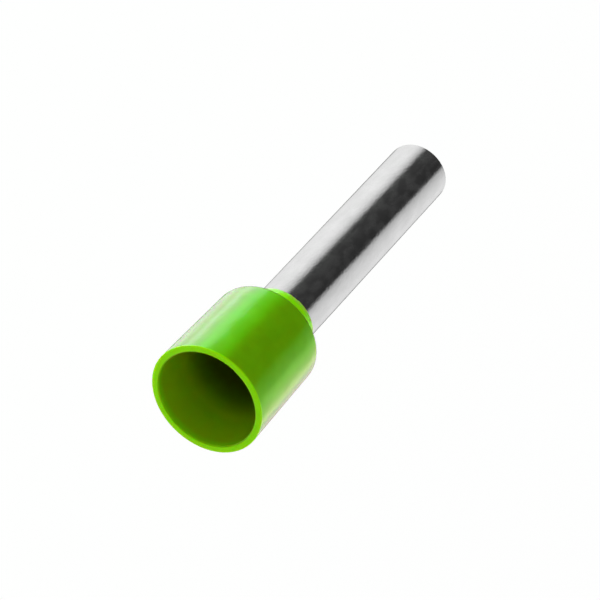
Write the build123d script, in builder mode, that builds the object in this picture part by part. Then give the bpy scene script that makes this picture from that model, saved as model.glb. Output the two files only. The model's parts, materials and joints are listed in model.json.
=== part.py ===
from build123d import *
from math import cos, radians, sin, tan
import os

# Insulated wire ferrule: a drawn metal tube in a moulded plastic collar.
# It stands on the tube's cut end with the collar's mouth up. The origin is the
# centre of the cut end, and +Z runs up the tube and out of the mouth.
# All sizes are in millimetres, and angles in degrees.

# Tube
conductor_bore_diameter = 3.5
tube_wall = 0.2
exposed_length = 18.1
flare_diameter = 4.7
flare_angle = 17.5
flare_bend_radius = 2.0
cut_end_radius = 0.04

# Collar outside
mouth_diameter = 6.98
shoulder_diameter = 6.68
neck_wall = 0.21
collar_length = 8.77
body_length = 7.07
shoulder_slope = 15

# Collar inside
mouth_wall = 0.44
pocket_depth = 3.17
flare_below_neck_root = 0.1

# Rounded edges of the collar
rim_outer_radius = 0.06
rim_inner_radius = 0.12
shoulder_radius = 0.35
neck_root_radius = 0.3
neck_end_radius = 0.08
funnel_edge_radius = 2.0

# Fit between the tube and the collar that grips it
seat_clearance = 0.01

# Radii
bore_radius = conductor_bore_diameter / 2
mouth_radius = mouth_diameter / 2
shoulder_edge_radius = shoulder_diameter / 2
neck_bore_radius = bore_radius + tube_wall + seat_clearance
neck_radius = neck_bore_radius + neck_wall
pocket_radius = mouth_radius - mouth_wall

# Heights above the cut end
neck_end_height = exposed_length
mouth_height = exposed_length + collar_length
shoulder_height = mouth_height - body_length
neck_root_height = shoulder_height - (shoulder_edge_radius - neck_radius) * tan(radians(shoulder_slope))
pocket_floor_height = mouth_height - pocket_depth

# The tube's flare starts just below the neck's root, and the funnel runs down to its rim
slope_out = sin(radians(flare_angle))
slope_up = cos(radians(flare_angle))
bend_height = neck_root_height - flare_below_neck_root
flare_rim_radius = flare_diameter / 2 - tube_wall * slope_up
flare_rim_height = bend_height + (flare_rim_radius - bore_radius) * slope_up / slope_out


def flare_line(lowest, outward, past_rim):
    """Points up the tube and out along its flare, moved outward from the bore's own line."""
    foot = (bore_radius + outward, lowest)
    bend = (bore_radius + outward, bend_height - outward * tan(radians(flare_angle / 2)))
    rim = (
        flare_rim_radius + outward * slope_up + past_rim * slope_out,
        flare_rim_height - outward * slope_out + past_rim * slope_up,
    )
    return [foot, bend, rim]


def ring(part, radius, height):
    """The round edge of a part that lies at a radius and a height."""
    return part.edges().filter_by(GeomType.CIRCLE).sort_by_distance((0, radius, height))[0]


# Tube: a wall of even thickness, drawn straight and flared at its upper end
with BuildPart() as tube:
    with BuildSketch(Plane.XZ):
        with BuildLine():
            inside = FilletPolyline(*flare_line(0, 0, 0), radius=flare_bend_radius)
            outside = FilletPolyline(*flare_line(0, tube_wall, 0), radius=flare_bend_radius - tube_wall)
            Line(inside @ 0, outside @ 0)
            Line(inside @ 1, outside @ 1)
        make_face()
    revolve(axis=Axis.Z)
    fillet(ring(tube, bore_radius, 0), cut_end_radius)
    fillet(ring(tube, bore_radius + tube_wall, 0), cut_end_radius)

# Collar: the outer form is turned first, and its insides are cut from it
with BuildPart() as collar:
    with BuildSketch(Plane.XZ):
        with BuildLine():
            Polyline(
                (0, neck_end_height),
                (neck_radius, neck_end_height),
                (neck_radius, neck_root_height),
                (shoulder_edge_radius, shoulder_height),
                (mouth_radius, mouth_height),
                (0, mouth_height),
                close=True,
            )
        make_face()
    revolve(axis=Axis.Z)

    # Pocket for the wire's insulation, and the funnel below it
    with BuildSketch(Plane.XZ):
        with BuildLine():
            Polyline(
                (0, flare_rim_height),
                (flare_rim_radius, flare_rim_height),
                (pocket_radius, pocket_floor_height),
                (pocket_radius, mouth_height),
                (0, mouth_height),
                close=True,
            )
        make_face()
    revolve(axis=Axis.Z, mode=Mode.SUBTRACT)

    # Seat for the tube and its flare, right through the neck
    with BuildSketch(Plane.XZ):
        with BuildLine():
            rim_inside = flare_line(neck_end_height, 0, seat_clearance)[-1]
            seat = FilletPolyline(
                *flare_line(neck_end_height, tube_wall + seat_clearance, seat_clearance),
                radius=flare_bend_radius - tube_wall - seat_clearance,
            )
            Polyline(seat @ 1, rim_inside, (0, rim_inside[1]), (0, neck_end_height), seat @ 0)
        make_face()
    revolve(axis=Axis.Z, mode=Mode.SUBTRACT)

    # Rounded edges
    fillet(ring(collar, mouth_radius, mouth_height), rim_outer_radius)
    fillet(ring(collar, pocket_radius, mouth_height), rim_inner_radius)
    fillet(ring(collar, pocket_radius, pocket_floor_height), funnel_edge_radius)
    fillet(ring(collar, shoulder_edge_radius, shoulder_height), shoulder_radius)
    fillet(ring(collar, neck_radius, neck_root_height), neck_root_radius)
    fillet(ring(collar, neck_radius, neck_end_height), neck_end_radius)

tube.part.label = "tube"
collar.part.label = "collar"

os.makedirs("parts", exist_ok=True)
export_step(tube.part, "parts/tube.step")
export_step(collar.part, "parts/collar.step")
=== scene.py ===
import json
from math import cos, pi, radians, sin

import bpy
from mathutils import Matrix, Vector


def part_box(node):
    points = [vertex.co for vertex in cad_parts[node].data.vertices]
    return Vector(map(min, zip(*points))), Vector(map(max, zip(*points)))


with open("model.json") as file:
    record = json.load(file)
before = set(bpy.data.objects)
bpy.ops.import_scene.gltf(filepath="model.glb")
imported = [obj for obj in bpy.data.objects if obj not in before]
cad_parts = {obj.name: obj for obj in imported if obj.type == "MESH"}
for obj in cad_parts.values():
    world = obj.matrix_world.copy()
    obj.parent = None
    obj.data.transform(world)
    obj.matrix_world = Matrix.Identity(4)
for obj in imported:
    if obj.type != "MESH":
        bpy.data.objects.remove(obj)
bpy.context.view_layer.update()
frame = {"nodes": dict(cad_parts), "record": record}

# Insulated wire ferrule: a tinned tube that stands on its cut end, in a moulded green collar.
# Metres throughout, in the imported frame: +Z runs up the tube and out of the collar's mouth.
# Angles are in degrees. An azimuth is 0 on the camera's side, which is -Y, and grows towards -X.

mm = 0.001

# Places on the collar that its material and the camera are set by
neck_end_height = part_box("collar")[0].z
mouth_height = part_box("collar")[1].z
mounts = {mount["name"]: mount for mount in frame["record"]["mounts"]}
pocket_radius = mounts["cable_entry"]["dims"]["r_mm"] * mm

# Bands of the collar's material as depths below the mouth, each from its start to where it is full. They
# place painted light on the rim and painted light and shade in the pocket.
# Painted light: the rim's face is paler and glows
lit_rim_band = (0.16 * mm, 0.02 * mm)
# Painted light on the pocket's wall just under the rim
under_rim_light_band = (0.6 * mm, 0.15 * mm)
# Painted light on the funnel, which is also yellower
funnel_light_band = (2.2 * mm, 3.0 * mm)
# Painted shade that darkens the pocket towards the tube
deep_shade_band = (3.0 * mm, 5.4 * mm)

# Bands as heights above the neck's end
# Painted light: the thin neck is paler and glows
lit_neck_band = (1.6 * mm, 0.6 * mm)
# Painted highlight along the neck's end
lip_highlight_band = (0.35 * mm, 0.1 * mm)

# Where the inside's colour, with its painted shade, gives way to the outside's, as distances outward from
# the pocket's wall
wall_band = (0.04 * mm, 0.1 * mm)

# Values of a noise between which a look changes
wide_change = (0.3, 0.7)
cloud_change = (0.35, 0.65)
haze_change = (0.36, 0.66)

# Points closer than this are joined, at the seam where a turned surface closes
seam_gap = 0.0001 * mm

# Camera: the photograph looks down into the mouth through a long lens that is turned over on its side.
# Places in the picture and the focal length are in its pixels, and the sensor's width is in millimetres.
picture_size = 600
camera_elevation = 47.12
camera_roll = -137.14
camera_focal_px = 3259.2
camera_distance = 181.03 * mm
mouth_in_picture = (206.2, 399.85)
sensor_width = 36.0

# Studio sweep: a pale floor that curves up into a wall, seen by the camera only
sweep_floor_radius = 0.30
sweep_wall_radius = 0.60
sweep_wall_height = 0.80
sweep_turns = 96
sweep_curve_steps = 24

# Brightness of the surroundings below the horizon by azimuth
glow_round = [
    (-180, 0.1), (-166, 0.14), (-154, 0.8), (-128, 0.92), (-89, 0.98), (-72, 0.94), (-60, 0.8),
    (-47, 0.55), (-36, 0.09), (-28, 0.048), (0, 0.036), (42, 0.026), (47, 0.06), (53, 0.36), (60, 0.56),
    (74, 0.7), (90, 0.78), (128, 0.86), (154, 0.8), (166, 0.14), (180, 0.1),
]

# Brightness of the sky by the sine of its elevation, in front of the object and behind it
sky_in_front = [(0.0, 0.28), (0.34, 0.28), (0.45, 1.8), (0.56, 1.8), (0.63, 0.05), (1.0, 0.05)]
sky_behind = [(0.0, 0.8), (0.4, 0.7), (0.85, 0.5), (1.0, 0.05)]

# Where the surroundings change at the horizon and to the ground, by the sine of the elevation
horizon_band = (-0.08, 0.08)
ground_band = (-0.82, -0.94)
ground_grey = (0.03, 0.03, 0.03, 1)

# Where the sky in front gives way to the sky behind, by how far a direction of length 1 goes back
back_band = (0.1, 0.5)

# Upright sides mirror what lies as far below the horizon as the camera is above it.
# The second elevation is for views from lower down.
mirrored_elevation = -round(camera_elevation)
low_elevation = -13


def feed(tree, socket, value):
    """Sets a socket to a number or a colour, or links an output to it."""
    if isinstance(value, (int, float, tuple)):
        socket.default_value = value
    else:
        tree.links.new(value, socket)


def node(tree, kind, operation=None, **inputs):
    """A new node of a tree, with its operation and inputs set by name."""
    made = tree.nodes.new(kind)
    if operation:
        made.operation = operation
    for name, value in inputs.items():
        feed(tree, made.inputs[name.replace("_", " ")], value)
    return made


def calculated(tree, operation, first, second=0.0):
    """The output of a Math node on two outputs or numbers."""
    made = node(tree, "ShaderNodeMath", operation)
    feed(tree, made.inputs[0], first)
    feed(tree, made.inputs[1], second)
    return made.outputs["Value"]


def between(tree, value, start, end, low=0.0, high=1.0):
    """A smooth change from low to high while a value goes from start to end."""
    made = node(
        tree,
        "ShaderNodeMapRange",
        Value=value,
        From_Min=start,
        From_Max=end,
        To_Min=low,
        To_Max=high,
    )
    made.interpolation_type = "SMOOTHSTEP"
    return made.outputs["Result"]


def mixed(tree, factor, first, second):
    """The output of a mix of two outputs or colours."""
    made = node(tree, "ShaderNodeMix")
    made.data_type = "RGBA"
    # A Mix node has sockets for each kind of value, and these are the ones for colours
    feed(tree, made.inputs[0], factor)
    feed(tree, made.inputs[6], first)
    feed(tree, made.inputs[7], second)
    return made.outputs[2]


def ramp(tree, stops, value):
    """The output of a colour ramp with grey stops (place, brightness), read at an output."""
    made = node(tree, "ShaderNodeValToRGB", Fac=value)
    elements = made.color_ramp.elements
    while len(elements) < len(stops):
        elements.new(1)
    for element, (place, brightness) in zip(elements, stops):
        element.position = place
        element.color = (brightness, brightness, brightness, 1)
    return made.outputs["Color"]


def coordinates(tree, kind):
    """The three outputs of a kind of texture coordinate."""
    place = node(tree, "ShaderNodeTexCoord")
    return node(tree, "ShaderNodeSeparateXYZ", Vector=place.outputs[kind]).outputs


def noise(tree, grain, stretch=1.0, detail=3.0):
    """Noise with a grain size in metres, stretched along the axis, read in the frame."""
    place = node(tree, "ShaderNodeTexCoord").outputs["Object"]
    scale = (1 / grain, 1 / grain, 1 / (grain * stretch))
    scaled = node(tree, "ShaderNodeMapping", Vector=place, Scale=scale).outputs["Vector"]
    return node(tree, "ShaderNodeTexNoise", Vector=scaled, Scale=1.0, Detail=detail).outputs["Fac"]


def bump(tree, relief, depth):
    """The normal of fine relief from an output, as deep as depth."""
    return node(tree, "ShaderNodeBump", Strength=1.0, Distance=depth, Height=relief).outputs["Normal"]


def material(name):
    """A new material with shader nodes."""
    made = bpy.data.materials.new(name)
    made.use_nodes = True
    return made


def shade(look, **settings):
    """Sets the sockets of a material's shader by name, each to a number, a colour or an output."""
    tree = look.node_tree
    for name, value in settings.items():
        feed(tree, tree.nodes["Principled BSDF"].inputs[name.replace("_", " ")], value)


def below_mouth(tree, height, band):
    """How far a height has come through a band of depths below the mouth."""
    start, full = band
    return between(tree, height, mouth_height - start, mouth_height - full)


def above_neck_end(tree, height, band):
    """How far a height has come through a band of heights above the neck's end."""
    start, full = band
    return between(tree, height, neck_end_height + start, neck_end_height + full)


def pocket_light_and_shade(tree, height):
    """Olive inside the collar, darker than the outside as painted shade: painted light under the rim and
    on the funnel, which is also yellower, and painted shade darkening it towards the tube.
    """
    # Painted shade: the pocket's olive is darker than the outside's green; the colours below paint light
    # under the rim and on the funnel and shade deep down
    olive = (0.28, 0.52, 0.002, 1)
    lit_olive_under_rim = (0.26, 0.68, 0.002, 1)
    lit_funnel_olive = (0.35, 0.57, 0.002, 1)
    deep_shade_olive = (0.27, 0.24, 0.001, 1)
    colour = mixed(tree, below_mouth(tree, height, under_rim_light_band), olive, lit_olive_under_rim)
    colour = mixed(tree, below_mouth(tree, height, funnel_light_band), colour, lit_funnel_olive)
    return mixed(tree, below_mouth(tree, height, deep_shade_band), colour, deep_shade_olive)


def collar_colours(tree):
    """The collar's colour with painted shade in the pocket, painted light on the thin rim and neck and a
    painted highlight at the neck's end, and a faint glow that stands in for light led through thin plastic
    and for that highlight.
    """
    green = (0.275, 0.71, 0.003, 1)
    deep_green = (0.26, 0.67, 0.002, 1)
    # Painted light on the thin rim and neck: a paler green and a glow
    thin_lit_green = (0.37, 0.95, 0.002, 1)
    # Painted highlight along the neck's end: a paler green and its own glow
    lip_highlight_green = (0.42, 0.85, 0.1, 1)
    no_glow = (0, 0, 0, 1)
    rim_glow = (0.03, 0.13, 0, 1)
    neck_glow = (0.05, 0.2, 0, 1)
    lip_highlight_glow = (0.04, 0.1, 0.008, 1)
    x, y, height = coordinates(tree, "Object")
    squares = [calculated(tree, "MULTIPLY", part, part) for part in (x, y)]
    radius = calculated(tree, "SQRT", calculated(tree, "ADD", *squares))
    wall_start, wall_full = [pocket_radius + distance for distance in wall_band]
    # Mask of the pocket's wall, which takes the painted shade of the inside
    inside = between(tree, radius, wall_full, wall_start)
    outside = between(tree, radius, wall_start, wall_full)
    # Masks of the painted light on the rim's face and on the thin neck
    rim = calculated(tree, "MULTIPLY", below_mouth(tree, height, lit_rim_band), outside)
    neck = above_neck_end(tree, height, lit_neck_band)
    # Mask of the painted highlight along the neck's end
    lip = above_neck_end(tree, height, lip_highlight_band)
    thin = calculated(tree, "MAXIMUM", rim, neck)
    cloud = noise(tree, grain=1.2 * mm)
    colour = mixed(tree, between(tree, cloud, *cloud_change), green, deep_green)
    colour = mixed(tree, inside, colour, pocket_light_and_shade(tree, height))
    colour = mixed(tree, thin, colour, mixed(tree, lip, thin_lit_green, lip_highlight_green))
    glow = mixed(tree, neck, no_glow, mixed(tree, lip, neck_glow, lip_highlight_glow))
    return colour, mixed(tree, rim, glow, rim_glow)


def green_plastic():
    """Glossy, slightly translucent moulded plastic: painted paler as light where it is thin, and olive
    with painted shade in the pocket.
    """
    made = material("green_plastic")
    tree = made.node_tree
    colour, glow = collar_colours(tree)
    grain = noise(tree, grain=0.25 * mm)
    shade(
        made,
        Base_Color=colour,
        Roughness=between(tree, grain, *wide_change, low=0.17, high=0.22),
        Normal=bump(tree, grain, depth=0.0004 * mm),
        IOR=1.4,
        Specular_Tint=(0.15, 1.0, 0.05, 1),
        Subsurface_Weight=1.0,
        Subsurface_Radius=(1.0, 0.35, 0.1),
        Subsurface_Scale=0.6 * mm,
        Emission_Color=glow,
        Emission_Strength=1.0,
    )
    return made


def tinned_metal():
    """Bright tin over a drawn copper tube, with faint lengthwise marks, pits and duller blotches."""
    bright_tin = (0.83, 0.83, 0.83, 1)
    dull_tin = (0.77, 0.77, 0.77, 1)
    mark_depth = 0.001 * mm
    clouds_to_marks = 4.0
    pits_to_marks = 6.0
    made = material("tinned_metal")
    tree = made.node_tree
    cloud = noise(tree, grain=0.9 * mm, stretch=1.6)
    haze = noise(tree, grain=0.5 * mm, stretch=2.0, detail=2)
    pits = noise(tree, grain=0.16 * mm, stretch=1.4, detail=2)
    marks = noise(tree, grain=0.12 * mm, stretch=30)
    waves = calculated(tree, "MULTIPLY", cloud, clouds_to_marks)
    relief = calculated(tree, "ADD", waves, calculated(tree, "MULTIPLY", pits, pits_to_marks))
    shade(
        made,
        Base_Color=mixed(tree, between(tree, cloud, *wide_change), bright_tin, dull_tin),
        Metallic=between(tree, haze, *haze_change, low=1.0, high=0.945),
        Roughness=between(tree, marks, *wide_change, low=0.09, high=0.15),
        Normal=bump(tree, calculated(tree, "ADD", relief, marks), mark_depth),
    )
    return made


def pale_floor():
    """A light table's white top."""
    made = material("pale_floor")
    shade(
        made,
        Base_Color=(0.15, 0.15, 0.15, 1),
        Roughness=1.0,
        Specular_IOR_Level=0.0,
        Emission_Color=(1, 1, 1, 1),
        Emission_Strength=0.985,
    )
    return made


def dress(name, look):
    """Gives a CAD node its material, and joins the two sides of its seam so that it shades evenly."""
    shown = frame["nodes"][name]
    for place in shown.material_slots:
        place.material = look
    shown.modifiers.new("joined_seam", "WELD").merge_threshold = seam_gap
    shown.modifiers.new("even_normals", "WEIGHTED_NORMAL").keep_sharp = True


def sweep_profile():
    """Radius and height of each ring of the sweep, from the floor's edge up to the wall's top."""
    bend = sweep_wall_radius - sweep_floor_radius
    angles = [pi / 2 * step / sweep_curve_steps for step in range(sweep_curve_steps + 1)]
    curve = [(sweep_floor_radius + bend * sin(angle), bend * (1 - cos(angle))) for angle in angles]
    return curve + [(sweep_wall_radius, sweep_wall_height)]


def sweep():
    """The floor and its round wall, one surface round the object."""
    profile = sweep_profile()
    points = []
    for radius, height in profile:
        for k in range(sweep_turns):
            angle = 2 * pi * k / sweep_turns
            points.append((radius * cos(angle), radius * sin(angle), height))
    faces = [tuple(range(sweep_turns))]
    for row in range(len(profile) - 1):
        for k in range(sweep_turns):
            here = row * sweep_turns + k
            beside = row * sweep_turns + (k + 1) % sweep_turns
            faces.append((here, beside, beside + sweep_turns, here + sweep_turns))
    mesh = bpy.data.meshes.new("sweep")
    mesh.from_pydata(points, [], faces)
    mesh.shade_smooth()
    mesh.materials.append(pale_floor())
    made = bpy.data.objects.new("sweep", mesh)
    bpy.context.scene.collection.objects.link(made)
    made.visible_diffuse = False
    made.visible_glossy = False
    made.visible_transmission = False
    made.visible_shadow = False


def studio_world():
    """Soft studio light that depends only on the direction: bright sides, a dark front, a low soft sky."""
    world = bpy.data.worlds.new("studio")
    bpy.context.scene.world = world
    world.use_nodes = True
    tree = world.node_tree
    x, y, z = coordinates(tree, "Generated")
    minus_x, minus_y = [calculated(tree, "MULTIPLY", part, -1.0) for part in (x, y)]
    azimuth = calculated(tree, "ARCTAN2", minus_x, minus_y)
    turn = calculated(tree, "ADD", calculated(tree, "DIVIDE", azimuth, 2 * pi), 0.5)
    around = ramp(tree, [(angle / 360 + 0.5, brightness) for angle, brightness in glow_round], turn)
    below = mixed(tree, between(tree, z, *ground_band), around, ground_grey)
    front, back = [ramp(tree, sky, z) for sky in (sky_in_front, sky_behind)]
    above = mixed(tree, between(tree, y, *back_band), front, back)
    glow = mixed(tree, between(tree, z, *horizon_band), below, above)
    feed(tree, tree.nodes["Background"].inputs["Color"], glow)


def far_light(name, azimuth, elevation, strength, width, colour):
    """A far soft light that lights without being mirrored."""
    lamp = bpy.data.lights.new(name, "SUN")
    lamp.energy = strength
    lamp.color = colour
    lamp.angle = radians(width)
    made = bpy.data.objects.new(name, lamp)
    bpy.context.scene.collection.objects.link(made)
    turn, rise = radians(azimuth), radians(elevation)
    towards = Vector((-sin(turn) * cos(rise), -cos(turn) * cos(rise), sin(rise)))
    made.rotation_mode = "QUATERNION"
    made.rotation_quaternion = towards.to_track_quat("Z", "Y")
    made.visible_glossy = False
    return made


def sheen(name, azimuth, strength, width, colour, elevation=mirrored_elevation):
    """A far soft light that is only seen mirrored in the collar."""
    made = far_light(name, azimuth, elevation, strength, width, colour)
    made.visible_glossy = True
    made.visible_diffuse = False
    lit = bpy.data.collections.new(name + "_on")
    lit.objects.link(frame["nodes"]["collar"])
    made.light_linking.receiver_collection = lit


def studio_lights():
    """The key light, the collar's green and pale highlights, and two white ones for lower views."""
    far_light("key_left", azimuth=-92, elevation=-10, strength=1.25, width=24, colour=(0.55, 1.0, 0.5))
    sheen("glow_left", azimuth=-57, strength=1.0, width=38, colour=(0.0, 1.0, 0.0))
    sheen("sheen_left", azimuth=-89, strength=0.86, width=35, colour=(0.88, 0.68, 1.0))
    sheen("mid_left", azimuth=-123, strength=0.075, width=26, colour=(1.0, 0.5, 0.9))
    sheen("edge_left", azimuth=-131, strength=0.42, width=40, colour=(0.8, 0.25, 0.95))
    sheen("glow_right", azimuth=75, strength=0.29, width=36, colour=(0.0, 1.0, 0.0))
    sheen("sheen_right", azimuth=109, strength=0.46, width=36, colour=(0.8, 1.0, 0.3))
    sheen("edge_right", azimuth=145, strength=0.22, width=36, colour=(1.0, 0.5, 0.8))
    sheen("low_left", azimuth=-100, strength=0.75, width=34, colour=(1, 1, 1), elevation=low_elevation)
    sheen("low_right", azimuth=30, strength=0.7, width=34, colour=(1, 1, 1), elevation=low_elevation)


def camera():
    """The photograph's own view, with the mouth's centre at its place in the picture."""
    eye = bpy.data.cameras.new("camera")
    eye.sensor_width = sensor_width
    eye.lens = camera_focal_px / picture_size * sensor_width
    eye.clip_start = 0.01
    eye.clip_end = 10
    made = bpy.data.objects.new("camera", eye)
    bpy.context.scene.collection.objects.link(made)
    tilt = Matrix.Rotation(radians(90 - camera_elevation), 3, "X")
    turn = tilt @ Matrix.Rotation(radians(camera_roll), 3, "Z")
    right, up, back = turn.col
    per_px = camera_distance / camera_focal_px
    across = (mouth_in_picture[0] - picture_size / 2) * per_px
    down = (mouth_in_picture[1] - picture_size / 2) * per_px
    mouth_centre = Vector((0, 0, mouth_height))
    place = mouth_centre - right * across + up * down + back * camera_distance
    made.matrix_world = Matrix.Translation(place) @ turn.to_4x4()
    bpy.context.scene.camera = made


dress("tube", tinned_metal())
dress("collar", green_plastic())
sweep()
studio_world()
studio_lights()
camera()
bpy.context.scene.view_settings.view_transform = "Standard"
